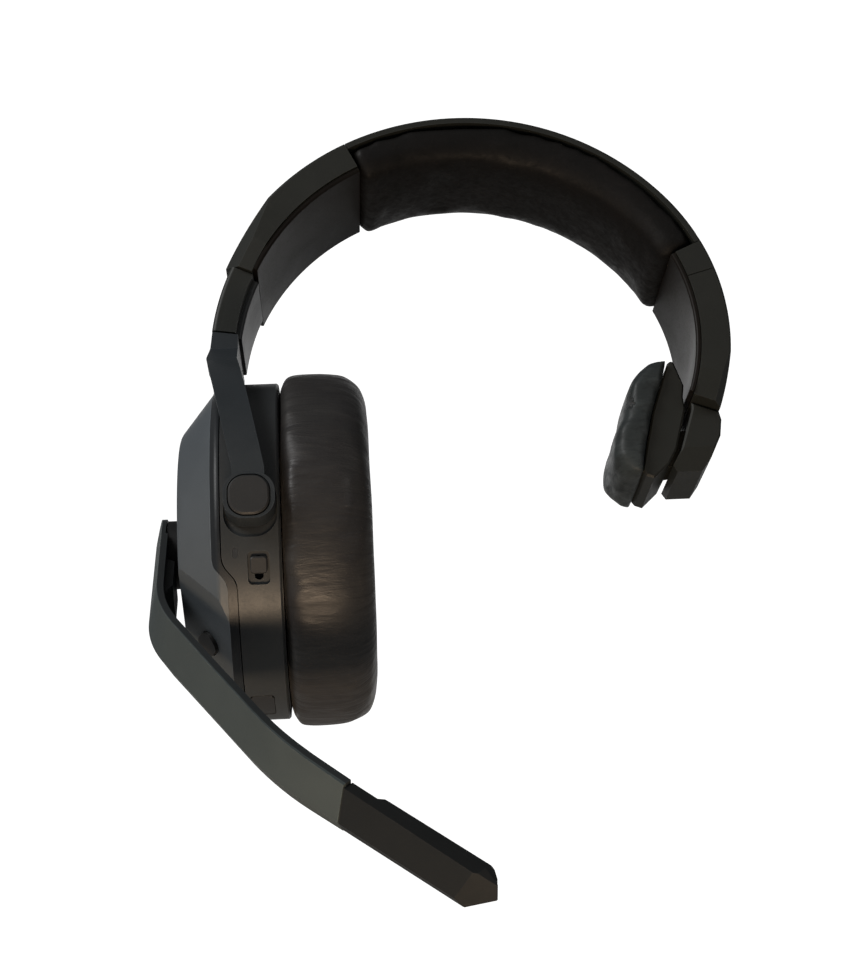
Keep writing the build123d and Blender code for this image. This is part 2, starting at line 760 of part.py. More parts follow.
with BuildPart() as mic_cover:
    with BuildSketch(mic_side):
        Polygon(
            (mic_raise_start, mic_body_t + 0.02),
            (mic_raise_start + 3.4, mic_body_t + mic_raise),
            (mic_length - 3.4, mic_body_t + mic_raise),
            (mic_length - 1.0, mic_body_t + 1.0),
            (mic_length - 1.0, mic_body_t + 0.02),
            align=None,
        )
    extrude(amount=mic_tip_half - 0.7, both=True)
    with BuildSketch(mic_top.offset(mic_body_t)):
        Polygon(
            (0, mic_tip_half), (mic_length - 8, mic_tip_half), (mic_length, mic_tip_half - 4.2),
            (mic_length, 2.6 - mic_tip_half), (mic_length - 5.5, -mic_tip_half), (0, -mic_tip_half),
            align=None,
        )
    extrude(amount=mic_raise + 1, mode=Mode.INTERSECT)
    chamfer(mic_cover.faces().sort_by(Axis(mic_top.origin, mic_top.z_dir))[-1].edges(), 0.4)
    with BuildSketch(mic_top.offset(mic_body_t)):
        with Locations((mic_port_s, 0)):
            Circle(3.2)
    extrude(amount=1.5, mode=Mode.SUBTRACT)
    with BuildSketch(mic_top.offset(mic_body_t)):
        with Locations((mic_port_s, 0)):
            SlotOverall(9.0, 3.4)
    extrude(amount=mic_raise + 1, mode=Mode.SUBTRACT)
save(mic_cover.part, "mic_cover")

with BuildPart() as mic_capsule:
    with BuildSketch(mic_top.offset(mic_body_t - 0.6)):
        with Locations((mic_port_s, 0)):
            Circle(2.6)
    extrude(amount=2.0)
save(mic_capsule.part, "mic_capsule")

with BuildPart() as mic_mesh:
    with BuildSketch(mic_top.offset(mic_body_t + mic_raise - 0.7)):
        with Locations((mic_port_s, 0)):
            SlotOverall(9.0, 3.4)
    extrude(amount=0.4)
save(mic_mesh.part, "mic_mesh")

with BuildPart() as mic_board:
    with BuildSketch(mic_top.offset(mic_body_t - 2.6)):
        with Locations((mic_port_s - 3, 0)):
            Rectangle(16, 4.6)
    extrude(amount=0.7)
    with BuildSketch(mic_top.offset(mic_body_t - 1.9)):
        with Locations((mic_port_s, 0)):
            Rectangle(3.6, 3.0)
    extrude(amount=1.3)
save(mic_board.part, "mic_board")

# ---------------------------------------------------------------- fork and sliders

slider_foot = band_point(swivel_r, slider_end)
foot_angle = math.radians(slider_end)
swivel_axis = (math.sin(foot_angle), 0, -math.cos(foot_angle))
swivel_top = Plane(origin=(slider_foot[0], 0, slider_foot[1]), z_dir=swivel_axis)

with BuildPart() as fork:
    with BuildSketch(Plane.YZ.offset(-50)):
        with Locations((0, fork_centre_z)):
            Circle(fork_outer_r)
        Polygon(
            (-fork_top_half, 62.0), (fork_top_half, 62.0), (fork_top_half, 51.5), (31.5, 39.2),
            (-31.5, 39.2), (-fork_top_half, 51.5),
            align=None,
        )
        with Locations((0, fork_centre_z)):
            Circle(fork_inner_r, mode=Mode.SUBTRACT)
        with Locations((0, fork_centre_z - 40)):
            Rectangle(140, 80, mode=Mode.SUBTRACT)
    extrude(amount=30)
    with BuildSketch(Plane.XZ.offset(60)) as fork_side:
        Polygon(
            (fork_out_x[0], -5), (fork_out_x[0], fork_bend_z[0]), (fork_out_x[1], fork_bend_z[1]),
            (fork_out_x[2], fork_bend_z[2]), (fork_out_x[2], 64), (fork_in_x[2], 64),
            (fork_in_x[2], fork_bend_z[2]), (fork_in_x[1], fork_bend_z[1]),
            (fork_in_x[0], fork_bend_z[0]), (fork_in_x[0], -5),
            align=None,
        )
        bends = [v for v in fork_side.vertices() if abs(v.Y - fork_bend_z[1]) < 0.1]
        fillet(bends, radius=5.0)
    extrude(fork_side.sketch, amount=-120, mode=Mode.INTERSECT)
    for side in (-1, 1):
        rounded_block(eyelet_size, eyelet_corner, pivot_z, side * eyelet_in_y, side * fork_outer_r)
    with BuildSketch(swivel_top.offset(-swivel_gap)):
        Rectangle(90, 90)
    extrude(amount=20, mode=Mode.SUBTRACT)
    with BuildSketch(swivel_top.offset(-swivel_gap)):
        Circle(swivel_pin_r + swivel_fit)
    extrude(amount=-5.2, mode=Mode.SUBTRACT)
    for side in (-1, 1):
        rounded_block((cap_width + 2 * cap_groove, cap_height + 2 * cap_groove), cap_corner + cap_groove,
                      pivot_z, side * (fork_outer_r - cap_sink), side * (fork_outer_r + 1), Mode.SUBTRACT)
    with Locations((pivot_x, 0, pivot_z)):
        Cylinder(pivot_pin_r, 120, rotation=(90, 0, 0), mode=Mode.SUBTRACT)
save(fork.part, "fork")

with BuildPart() as pivot_pins:
    for side in (-1, 1):
        with Locations((pivot_x, side * (pin_in_y + fork_outer_r - cap_sink) / 2, pivot_z)):
            Cylinder(pivot_pin_r, fork_outer_r - cap_sink - pin_in_y, rotation=(90, 0, 0))
save(pivot_pins.part, "pivot_pins")

for side, name in ((-1, "pivot_cap_front"), (1, "pivot_cap_rear")):
    with BuildPart() as pivot_cap:
        rounded_block((cap_width, cap_height), cap_corner, pivot_z,
                      side * (fork_outer_r - cap_sink), side * (fork_outer_r + cap_proud))
        chamfer(pivot_cap.faces().sort_by(Axis.Y)[0 if side < 0 else -1].edges(), 0.4)
    save(pivot_cap.part, name)

with BuildPart() as swivel_pin:
    with BuildSketch(swivel_top.offset(-5.0)):
        Circle(swivel_pin_r)
    extrude(amount=11.0)
save(swivel_pin.part, "swivel_pin")


def strip_slot(a_from, a_to):
    sector_solid(strip_in_r - strip_fit, strip_out_r + strip_fit, a_from, a_to,
                 strip_half + strip_fit, mode=Mode.SUBTRACT)


def spring_slot(a_from, a_to):
    sector_solid(spring_in_r - spring_fit, spring_out_r + spring_fit, a_from, a_to,
                 spring_half + spring_fit, mode=Mode.SUBTRACT)


with BuildPart() as slider_cover:
    sector_solid(slider_split_r, slider_out_r, end_left + seam_gap, slider_end, slider_half)
    fillet(long_edges(slider_cover, slider_out_r), 1.2)
    sector_solid(strip_in_r, strip_out_r, end_left, end_left + strip_outside, strip_half,
                 mode=Mode.SUBTRACT)
    add(swivel_pin.part, mode=Mode.SUBTRACT)
save(slider_cover.part, "slider_cover")

with BuildPart() as slider_back:
    sector_solid(slider_in_r, slider_split_r, end_left + seam_gap, slider_end, slider_in_half)
    fillet(long_edges(slider_back, slider_in_r), 0.8)
    add(swivel_pin.part, mode=Mode.SUBTRACT)
save(slider_back.part, "slider_back")

with BuildPart() as slider_strip_left:
    sector_solid(strip_in_r, strip_out_r, end_left - strip_inside, end_left + strip_outside, strip_half)
save(slider_strip_left.part, "slider_strip_left")

# ---------------------------------------------------------------- headband


def bevel_cut(p, q, r, side):
    normal = (q - p).cross(r - p).normalized()
    if normal.Y * side < 0:
        normal = -normal
    with BuildSketch(Plane(origin=p, z_dir=normal)) as bevel:
        Rectangle(90, 90)
    extrude(bevel.sketch, amount=25, mode=Mode.SUBTRACT)


def bevel_end(end_angle, way, reach, fall, drop):
    near = band_point(band_r, end_angle - way * reach)
    low = band_point(band_r - fall, end_angle)
    high = band_point(band_r - drop, end_angle)
    start_out = band_point(band_r, end_angle - way * face_facet_reach)
    start_in = band_point(liner_in_r, end_angle - way * face_facet_reach)
    for side in (-1, 1):
        bevel_cut(
            Vector(near[0], side * band_half, near[1]),
            Vector(low[0], side * band_half, low[1]),
            Vector(high[0], side * (band_half - facet_inset), high[1]),
            side,
        )
        bevel_cut(
            Vector(start_out[0], side * band_half, start_out[1]),
            Vector(start_in[0], side * band_half, start_in[1]),
            Vector(high[0], side * (band_half - face_facet_depth), high[1]),
            side,
        )


with BuildPart() as band_shell:
    sector_solid(shell_in_r, band_r, seam_right + seam_gap, seam_left - seam_gap, band_half)
    fillet(long_edges(band_shell, band_r), 0.8)
save(band_shell.part, "band_shell")

with BuildPart() as pad_carrier:
    sector_solid(carrier_in_r, pad_out_r, seam_right + seam_gap, seam_left - seam_gap, carrier_half)
    spring_slot(seam_right - 1, seam_left + 1)
save(pad_carrier.part, "pad_carrier")

with BuildPart() as band_pad:
    sector_solid(pad_in_r, pad_out_r, seam_right + seam_gap, seam_left - seam_gap, pad_half)
    fillet(long_edges(band_pad, pad_in_r), 4.5)
    fillet(long_edges(band_pad, pad_out_r), 0.6)
    sector_solid(carrier_in_r, band_r, seam_right, seam_left, carrier_half, mode=Mode.SUBTRACT)
save(band_pad.part, "band_pad")

with BuildPart() as band_spring:
    sector_solid(spring_in_r, spring_out_r, seam_right - spring_reach, seam_left + spring_reach, spring_half)
save(band_spring.part, "band_spring")

with BuildPart() as band_cover_left:
    sector_solid(cover_in_r, band_r, seam_left, end_left, band_half)
    fillet(long_edges(band_cover_left, band_r), 0.8)
    bevel_end(end_left, 1, *facet_left)
    strip_slot(end_left - strip_inside - 1, end_left + 1)
    spring_slot(seam_left - 1, seam_left + spring_reach)
save(band_cover_left.part, "band_cover_left")

with BuildPart() as band_liner_left:
    sector_solid(liner_in_r, liner_out_r, seam_left, end_left - liner_short, band_half - 0.4)
    fillet(long_edges(band_liner_left, liner_in_r), 0.8)
save(band_liner_left.part, "band_liner_left")

with BuildPart() as band_cover_right:
    sector_solid(cover_in_r, band_r, end_right, split_right, band_half)
    fillet(long_edges(band_cover_right, band_r), 0.8)
    bevel_end(end_right, -1, *facet_right)
    strip_slot(end_right - 1, end_right + strip_inside + 1)
save(band_cover_right.part, "band_cover_right")

with BuildPart() as band_collar_right:
    sector_solid(cover_in_r, band_r, split_right + seam_gap, seam_right, band_half)
    fillet(long_edges(band_collar_right, band_r), 0.8)
    spring_slot(seam_right - spring_reach, seam_right + 1)
save(band_collar_right.part, "band_collar_right")

with BuildPart() as band_liner_right:
    sector_solid(liner_in_r, liner_out_r, end_right + liner_short, seam_right, band_half - 0.4)
    fillet(long_edges(band_liner_right, liner_in_r), 0.8)
save(band_liner_right.part, "band_liner_right")

with BuildPart() as slider_strip_right:
    sector_solid(strip_in_r, strip_out_r, end_right - 4.0, end_right + strip_inside, strip_half)
save(slider_strip_right.part, "slider_strip_right")

# ---------------------------------------------------------------- temple arm and pad

arm_top_out = band_point(arm_out_r, end_right - seam_gap)
arm_top_in = band_point(arm_in_r, end_right - seam_gap)

with BuildPart() as temple_arm:
    with BuildSketch(Plane.XZ):
        Polygon(
            arm_top_out, (93.0, 27.5), (92.3, 23.0), (89.4, 17.2), (86.8, 13.7), (80.2, 13.7),
            (79.2, 15.6), (81.5, 19.4), (85.3, 30.6), arm_top_in,
            align=None,
        )
    extrude(amount=arm_half, both=True)
    chamfer([e for f in temple_arm.faces().filter_by(Axis.Y) for e in f.edges()], temple_edge)
    with BuildSketch(Plane.YZ.offset(70)):
        Polygon(
            (-arm_half, 45), (-arm_half, 20), (2 - arm_half, 12), (arm_half - 2, 12),
            (arm_half, 20), (arm_half, 45),
            align=None,
        )
    extrude(amount=40, mode=Mode.INTERSECT)
    with BuildSketch(Plane.XZ):
        with Locations(temple_pin):
            Circle(lug_r + lug_fit)
        with Locations((temple_pin[0] - 5, temple_pin[1])):
            Rectangle(10, 2 * (lug_r + lug_fit))
        Polygon((79.0, 16.2), (83.4, 16.8), (87.0, 24.5), (80.0, 25.0), align=None)
    extrude(amount=lug_half + lug_fit, both=True, mode=Mode.SUBTRACT)
    with BuildSketch(Plane.XZ):
        with Locations(temple_pin):
            Circle(temple_pin_r)
    extrude(amount=temple_pin_length / 2 + 0.1, both=True, mode=Mode.SUBTRACT)
    sector_solid(strip_in_r, strip_out_r, end_right - 4.0, end_right + 1, strip_half, mode=Mode.SUBTRACT)
save(temple_arm.part, "temple_arm")

with BuildPart() as temple_pin_part:
    with Locations((temple_pin[0], 0, temple_pin[1])):
        Cylinder(temple_pin_r, temple_pin_length, rotation=(90, 0, 0))
save(temple_pin_part.part, "temple_pin")

with BuildPart() as temple_bracket:
    with BuildSketch(Plane.XZ) as bracket_side:
        Polygon(
            (81.4, 45.2), (83.8, 37.6), (83.3, 34.2), (83.6, 31.0), (80.3, 19.8), (78.0, 15.8), (73.6, 11.8),
            (71.6, 12.6), (70.7, 13.9), (72.6, 21.6), (74.8, 30.1), (79.9, 44.0),
            align=None,
        )
        fillet(bracket_side.vertices().sort_by(Axis.Y)[-1], radius=0.8)
    extrude(bracket_side.sketch, amount=bracket_half, both=True)
    chamfer([e for f in temple_bracket.faces().filter_by(Axis.Y) for e in f.edges()], temple_edge)
    with BuildSketch(Plane.XZ):
        with Locations(temple_pin):
            Circle(lug_r)
        with Locations(((temple_pin[0] + 78) / 2, temple_pin[1])):
            Rectangle(temple_pin[0] - 78, 2 * lug_r - 0.6)
        Polygon((78.5, 17.2), (82.3, 17.7), (85.7, 24.5), (80.0, 25.0), align=None)
    extrude(amount=lug_half, both=True)
    with BuildSketch(Plane.XZ):
        with Locations(temple_pin):
            Circle(temple_pin_r + temple_fit)
    extrude(amount=lug_half + 1, both=True, mode=Mode.SUBTRACT)
save(temple_bracket.part, "temple_bracket")

with BuildPart() as temple_pad:
    with BuildSketch(Plane.XZ):
        with BuildLine():
            front = Spline(
                (79.8, 44.2), (77.3, 45.2), (74.3, 44.2), (70.4, 40.4), (68.5, 35.6), (67.3, 29.6),
                (65.1, 26.2), (63.5, 21.2), (63.3, 17.4), (65.2, 14.2), (69.2, 11.8), (71.2, 12.4),
            )
            Polyline(front @ 1, (70.6, 13.8), (72.5, 21.6), (74.7, 30.1), front @ 0)
        make_face()
    extrude(amount=pad_depth / 2, both=True)
save(temple_pad.part, "temple_pad")
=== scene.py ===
import math

import bmesh
import bpy
from mathutils import Matrix, Vector, noise


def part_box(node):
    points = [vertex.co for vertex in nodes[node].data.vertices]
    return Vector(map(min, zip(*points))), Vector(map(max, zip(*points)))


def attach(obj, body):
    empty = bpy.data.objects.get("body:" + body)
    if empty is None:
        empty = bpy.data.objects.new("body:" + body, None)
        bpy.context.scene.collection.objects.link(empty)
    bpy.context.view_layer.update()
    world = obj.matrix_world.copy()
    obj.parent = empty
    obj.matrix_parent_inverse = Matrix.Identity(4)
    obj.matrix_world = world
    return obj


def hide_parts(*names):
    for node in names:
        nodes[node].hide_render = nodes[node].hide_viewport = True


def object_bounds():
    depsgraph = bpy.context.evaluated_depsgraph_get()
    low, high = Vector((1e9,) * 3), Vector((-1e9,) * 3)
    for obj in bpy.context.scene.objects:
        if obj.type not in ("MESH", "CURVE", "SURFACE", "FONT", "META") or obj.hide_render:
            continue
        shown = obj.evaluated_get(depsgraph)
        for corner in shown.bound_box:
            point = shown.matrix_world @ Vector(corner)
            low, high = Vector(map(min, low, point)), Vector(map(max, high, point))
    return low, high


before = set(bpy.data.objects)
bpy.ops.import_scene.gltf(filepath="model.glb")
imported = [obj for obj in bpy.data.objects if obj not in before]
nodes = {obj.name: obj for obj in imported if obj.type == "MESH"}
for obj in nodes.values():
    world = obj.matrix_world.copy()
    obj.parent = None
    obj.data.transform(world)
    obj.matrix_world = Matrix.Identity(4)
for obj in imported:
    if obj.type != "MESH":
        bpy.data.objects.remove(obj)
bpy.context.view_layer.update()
scene = bpy.context.scene

# Places and sizes, in metres, in the CAD frame.
cushion_low, cushion_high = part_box("ear_cushion")
CUSHION_R = (cushion_high.z - cushion_low.z) / 2
CUSHION_HOLE = 0.024
BAND_X, BAND_Z = 0.02706, 0.04449
TURN_RIGHT, EASE_RIGHT = 40.0, 0.0115
PAD_IN_R, PAD_OUT_R = 0.0601, 0.0702
PAD_HALF = 0.0193
SEAM_LEFT, SEAM_RIGHT = 115.25, 24.65
rest_low, rest_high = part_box("temple_pad")
CAMERA_PLACE = (-0.01005, -0.51278, -0.15907)
CAMERA_FORWARD = (0.04697, 0.94411, 0.32628)
CAMERA_RIGHT = (0.99811, -0.03139, -0.05287)
LENS_MM = 75.943125
SENSOR_MM = 36
FLOOR_SIZE = 3.0
FLOOR_DROP = 0.15           # the floor lies this far under the object
BACKDROP_SIZE = 0.85
BACKDROP_DISTANCE = 3.0


# ---------------------------------------------------------------- camera
def make_camera():
    cam = bpy.data.objects.new("camera", bpy.data.cameras.new("camera"))
    scene.collection.objects.link(cam)
    forward = Vector(CAMERA_FORWARD).normalized()
    right = Vector(CAMERA_RIGHT).normalized()
    up = right.cross(forward).normalized()
    turn = Matrix((right, up, -forward)).transposed().to_4x4()
    cam.matrix_world = Matrix.Translation(CAMERA_PLACE) @ turn
    cam.data.sensor_width = SENSOR_MM
    cam.data.lens = LENS_MM
    cam.data.clip_start = 0.02
    cam.data.clip_end = 20
    scene.camera = cam


make_camera()


# ---------------------------------------------------------------- materials
def linear(r, g, b):
    """Screen values 0 to 255 as a linear colour."""
    parts = [c / 255 for c in (r, g, b)]
    return [(c / 12.92 if c <= 10 / 255 else ((c + 0.055) / 1.055) ** 2.4) for c in parts] + [1]


def scaled_colour(base, factor, lift=0.0):
    return [min(1, c * factor + lift) for c in base[:3]] + [1]


class Mat:
    """A node tree with short calls for the nodes the materials share."""

    def __init__(self, name, rough=0.5, metal=0.0, spec=0.5, sheen=0.0):
        self.mat = bpy.data.materials.new(name)
        self.mat.use_nodes = True
        self.tree = self.mat.node_tree
        self.shader = self.tree.nodes["Principled BSDF"]
        self.shader.inputs["Roughness"].default_value = rough
        self.shader.inputs["Metallic"].default_value = metal
        self.shader.inputs["Specular IOR Level"].default_value = spec
        self.shader.inputs["Sheen Weight"].default_value = sheen
        self.coord = self.tree.nodes.new("ShaderNodeTexCoord").outputs["Object"]

    def link(self, a, b):
        self.tree.links.new(a, b)

    def scaled(self, sx, sy, sz):
        n = self.tree.nodes.new("ShaderNodeMapping")
        n.inputs["Scale"].default_value = (sx, sy, sz)
        self.link(self.coord, n.inputs["Vector"])
        return n.outputs["Vector"]

    def noise(self, scale, detail=3.0, rough=0.55, distort=0.0, vector=None):
        n = self.tree.nodes.new("ShaderNodeTexNoise")
        n.inputs["Scale"].default_value = scale
        n.inputs["Detail"].default_value = detail
        n.inputs["Roughness"].default_value = rough
        n.inputs["Distortion"].default_value = distort
        self.link(vector or self.coord, n.inputs["Vector"])
        return n.outputs["Fac"]

    def cells(self, scale):
        n = self.tree.nodes.new("ShaderNodeTexVoronoi")
        n.inputs["Scale"].default_value = scale
        self.link(self.coord, n.inputs["Vector"])
        return n.outputs["Distance"]

    def remap(self, source, a, b, c, d):
        n = self.tree.nodes.new("ShaderNodeMapRange")
        for key, v in zip(("From Min", "From Max", "To Min", "To Max"), (a, b, c, d)):
            n.inputs[key].default_value = v
        self.link(source, n.inputs["Value"])
        return n.outputs["Result"]

    def math(self, kind, a, b):
        n = self.tree.nodes.new("ShaderNodeMath")
        n.operation = kind
        for i, v in enumerate((a, b)):
            if isinstance(v, (int, float)):
                n.inputs[i].default_value = v
            elif v is not None:
                self.link(v, n.inputs[i])
        return n.outputs["Value"]

    def mix(self, fac, a, b):
        n = self.tree.nodes.new("ShaderNodeMix")
        n.data_type = "RGBA"
        for socket, v in (("Factor", fac), ("A", a), ("B", b)):
            target = [s for s in n.inputs if s.name == socket and (socket == "Factor" or s.type == "RGBA")][0]
            if isinstance(v, (int, float)):
                target.default_value = v
            elif isinstance(v, (list, tuple)):
                target.default_value = v
            else:
                self.link(v, target)
        return [s for s in n.outputs if s.type == "RGBA"][0]

    def edge(self, width=0.0004):
        """1 along the edges, 0 on flats, from how far a rounded normal leans off the face."""
        bevel = self.tree.nodes.new("ShaderNodeBevel")
        bevel.samples = 4
        bevel.inputs["Radius"].default_value = width
        face = self.tree.nodes.new("ShaderNodeNewGeometry")
        lean = self.tree.nodes.new("ShaderNodeVectorMath")
        lean.operation = "DOT_PRODUCT"
        self.link(bevel.outputs["Normal"], lean.inputs[0])
        self.link(face.outputs["Normal"], lean.inputs[1])
        return self.remap(lean.outputs["Value"], 0.985, 0.86, 0, 1)

    def colour(self, source):
        self.link(source, self.shader.inputs["Base Color"])

    def rough(self, source):
        self.link(source, self.shader.inputs["Roughness"])

    def bump(self, layers):
        """layers: (height, strength, distance) from coarse to fine."""
        normal = None
        for height, strength, distance in layers:
            n = self.tree.nodes.new("ShaderNodeBump")
            n.inputs["Strength"].default_value = strength
            n.inputs["Distance"].default_value = distance
            self.link(height, n.inputs["Height"])
            if normal is not None:
                self.link(normal, n.inputs["Normal"])
            normal = n.outputs["Normal"]
        self.link(normal, self.shader.inputs["Normal"])


def plastic(name, base, rough=0.48, spec=0.3):
    """Moulded plastic with a fine grain, dust, uneven gloss and paler edges, partly rubbed wear and partly a
    painted highlight.
    """
    grain = 0.00002
    smudge = 0.04
    m = Mat(name, rough=rough, spec=spec)
    cloud = m.noise(55, 4, 0.6, 0.3)
    dust = m.noise(1400, 2, 0.7)
    body = m.mix(m.remap(cloud, 0.35, 0.65, 0, 1), scaled_colour(base, 0.95), scaled_colour(base, 1.05))
    body = m.mix(m.remap(dust, 0.62, 0.78, 0, 0.08), body, scaled_colour(base, 2.4, 0.01))
    # Paler along the edges: partly rubbed wear, partly a painted highlight where a rounded edge would catch
    # the light.
    rubbing_and_edge_highlight = m.remap(m.noise(160, 4, 0.7), 0.4, 0.6, 0.15, 0.8)
    body = m.mix(m.math("MULTIPLY", m.edge(), rubbing_and_edge_highlight), body, scaled_colour(base, 1.9, 0.006))
    m.colour(body)
    m.rough(m.math("ADD", m.remap(cloud, 0.3, 0.7, rough - smudge, rough + smudge),
                   m.remap(dust, 0.5, 0.8, 0, 0.08)))
    m.bump([(m.noise(3200, 2, 0.6), 0.5, grain), (m.cells(1900), 0.25, grain)])
    return m.mat


def metal(name, base, rough=0.32, along=(1, 1, 1)):
    m = Mat(name, rough=rough, metal=1.0)
    lines = m.noise(900, 3, 0.6, vector=m.scaled(*along))
    m.colour(m.mix(m.remap(lines, 0.3, 0.7, 0, 1), scaled_colour(base, 0.8), base))
    m.rough(m.remap(lines, 0.3, 0.7, rough - 0.06, rough + 0.1))
    m.bump([(lines, 0.3, 0.00001)])
    return m.mat


def leather(name, base, deep, around=None, wrinkle=0.00025, rough=0.42, grain=1300, torn=None,
            spec=0.35, sheen=0.03):
    """Leatherette. around is "ring" for a skin stretched round the cushion, or a stretch for each axis.
    torn is the place and the radius of a worn spot."""
    m = Mat(name, rough=rough, spec=spec, sheen=sheen)
    if around == "ring":
        split = m.tree.nodes.new("ShaderNodeSeparateXYZ")
        m.link(m.coord, split.inputs["Vector"])
        angle = m.math("ARCTAN2", split.outputs["Z"], split.outputs["Y"])
        radius = m.math("SQRT", m.math("ADD", m.math("MULTIPLY", split.outputs["Y"], split.outputs["Y"]),
                                       m.math("MULTIPLY", split.outputs["Z"], split.outputs["Z"])), None)
        ring = m.tree.nodes.new("ShaderNodeCombineXYZ")
        m.link(m.math("MULTIPLY", split.outputs["X"], 0.16), ring.inputs["X"])
        m.link(m.math("MULTIPLY", radius, 0.16), ring.inputs["Y"])
        m.link(m.math("MULTIPLY", angle, CUSHION_R), ring.inputs["Z"])
        stretched = ring.outputs["Vector"]
    else:
        stretched = m.scaled(*(around or (1, 1, 1)))
    cloud = m.noise(38, 4, 0.6, 0.4)
    creases = m.noise(520, 5, 0.62, 0.5, vector=stretched)
    coarse = m.noise(190, 4, 0.6, 0.8, vector=stretched)
    pores = m.cells(grain)
    tone = m.mix(m.remap(cloud, 0.35, 0.65, 0, 1), deep, base)
    # Darker in the low parts of the crease relief: painted shade in the creases.
    tone = m.mix(m.remap(creases, 0.30, 0.52, 0.55, 0), tone, scaled_colour(deep, 0.35))
    tone = m.mix(m.remap(coarse, 0.56, 0.72, 0, 0.35), tone, scaled_colour(base, 1.7))
    roughness = m.remap(creases, 0.3, 0.7, rough + 0.16, rough - 0.07)
    layers = [(coarse, 0.7, wrinkle * 1.6), (creases, 0.8, wrinkle), (pores, 0.35, 0.00003)]
    if torn:
        spot = m.tree.nodes.new("ShaderNodeVectorMath")
        spot.operation = "DISTANCE"
        place, size = torn
        spot.inputs[1].default_value = place
        m.link(m.coord, spot.inputs[0])
        wander = m.remap(m.noise(420, 5, 0.75), 0.3, 0.7, -size, size)
        ragged = m.math("ADD", spot.outputs["Value"], wander)
        hole = m.remap(ragged, size * 0.75, size * 1.05, 1, 0)
        tone = m.mix(hole, tone, linear(58, 60, 62))
        layers.append((m.remap(ragged, size * 0.5, size * 1.3, 0, 1), 0.9, 0.0004))
    m.colour(tone)
    m.rough(roughness)
    m.bump(layers)
    return m.mat


def cloth(name, base, pitch):
    """A plain weave with pitch threads to the metre."""
    m = Mat(name, rough=0.85, spec=0.2, sheen=0.15)
    rows = []
    for scale in ((0, pitch, 0), (0, 0, pitch)):
        wave = m.tree.nodes.new("ShaderNodeTexWave")
        wave.inputs["Scale"].default_value = 1.0
        wave.bands_direction = "DIAGONAL"
        m.link(m.scaled(*scale), wave.inputs["Vector"])
        rows.append(wave.outputs["Fac"])
    weave = m.math("MAXIMUM", *rows)
    m.colour(m.mix(weave, scaled_colour(base, 0.4), base))
    m.bump([(weave, 0.8, 0.0001)])
    return m.mat


slate = plastic("slate_plastic", linear(71, 76, 80), rough=0.46)
slate_boom = plastic("slate_plastic_boom", linear(56, 62, 62), rough=0.5)
charcoal = plastic("charcoal_plastic", linear(46, 48, 49), rough=0.42)
fork_black = plastic("fork_plastic", linear(38, 42, 45), rough=0.44)
band_black = plastic("band_plastic", linear(34, 35, 32), rough=0.46, spec=0.24)
liner_brown = plastic("liner_plastic", linear(20, 17, 14), rough=0.42, spec=0.12)
rim_black = plastic("rim_plastic", linear(26, 29, 32), rough=0.42)
key_black = plastic("key_plastic", linear(38, 38, 38), rough=0.5)
pit_black = plastic("pit_plastic", linear(9, 9, 10), rough=0.6)
mic_black = plastic("mic_plastic", linear(20, 21, 21), rough=0.45, spec=0.22)
boom_back_mat = plastic("boom_back_plastic", linear(30, 33, 34), rough=0.45)
steel = metal("brushed_steel", linear(150, 150, 152), along=(1, 0.1, 1))
nickel = metal("nickel", linear(180, 178, 170), rough=0.22)
film = plastic("driver_film", linear(90, 84, 66), rough=0.3)
green = plastic("circuit_board", linear(18, 58, 34), rough=0.35)
foil = metal("battery_foil", linear(170, 170, 175), rough=0.4)
milk = plastic("light_window", linear(46, 48, 50), rough=0.3)
rubber = plastic("wire_rubber", linear(14, 14, 14), rough=0.6)
mesh_cloth = cloth("grille_mesh", linear(20, 20, 20), 2200)
ear_cloth = cloth("speaker_cloth", linear(18, 18, 19), 1300)

CAD_LOOKS = {
    "band_shell": band_black, "pad_carrier": liner_brown, "band_spring": steel,
    "band_cover_left": band_black, "band_liner_left": liner_brown,
    "band_cover_right": band_black, "band_collar_right": band_black, "band_liner_right": liner_brown,
    "slider_cover": band_black, "slider_back": charcoal, "slider_strip_left": steel, "swivel_pin": steel,
    "fork": fork_black, "pivot_pins": steel, "pivot_cap_front": key_black, "pivot_cap_rear": key_black,
    "cup_housing": charcoal, "cup_rim": rim_black, "outer_cover": slate, "baffle_plate": charcoal,
    "cup_screws": steel, "driver_basket": charcoal, "driver_magnet": nickel, "driver_diaphragm": film,
    "speaker_cloth": ear_cloth, "cushion_ring": charcoal, "main_board": green, "battery": foil,
    "usb_port": nickel, "power_switch": pit_black, "status_led": milk, "hub_plate": pit_black,
    "boom_shell": slate_boom, "boom_back": boom_back_mat, "boom_wire": rubber, "axle_clip": steel,
    "mic_body": mic_black, "mic_cover": mic_black, "mic_capsule": nickel, "mic_mesh": mesh_cloth,
    "mic_board": green, "power_knob": key_black, "volume_up_button": key_black,
    "volume_down_button": key_black, "function_button": key_black, "usb_cover": key_black,
    "slider_strip_right": steel, "temple_arm": band_black, "temple_pin": steel,
    "temple_bracket": band_black,
}
for name, look in CAD_LOOKS.items():
    mesh = nodes[name].data
    mesh.materials.clear()
    mesh.materials.append(look)


# ---------------------------------------------------------------- soft pieces
def link_mesh(name, bm, look):
    mesh = bpy.data.meshes.new(name)
    bmesh.ops.recalc_face_normals(bm, faces=bm.faces)
    bm.to_mesh(mesh)
    bm.free()
    obj = bpy.data.objects.new(name, mesh)
    scene.collection.objects.link(obj)
    mesh.materials.append(look)
    mesh.shade_smooth()
    return obj


def apply_modifiers(obj):
    dg = bpy.context.evaluated_depsgraph_get()
    final = bpy.data.meshes.new_from_object(obj.evaluated_get(dg))
    obj.modifiers.clear()
    obj.data = final
    final.shade_smooth()


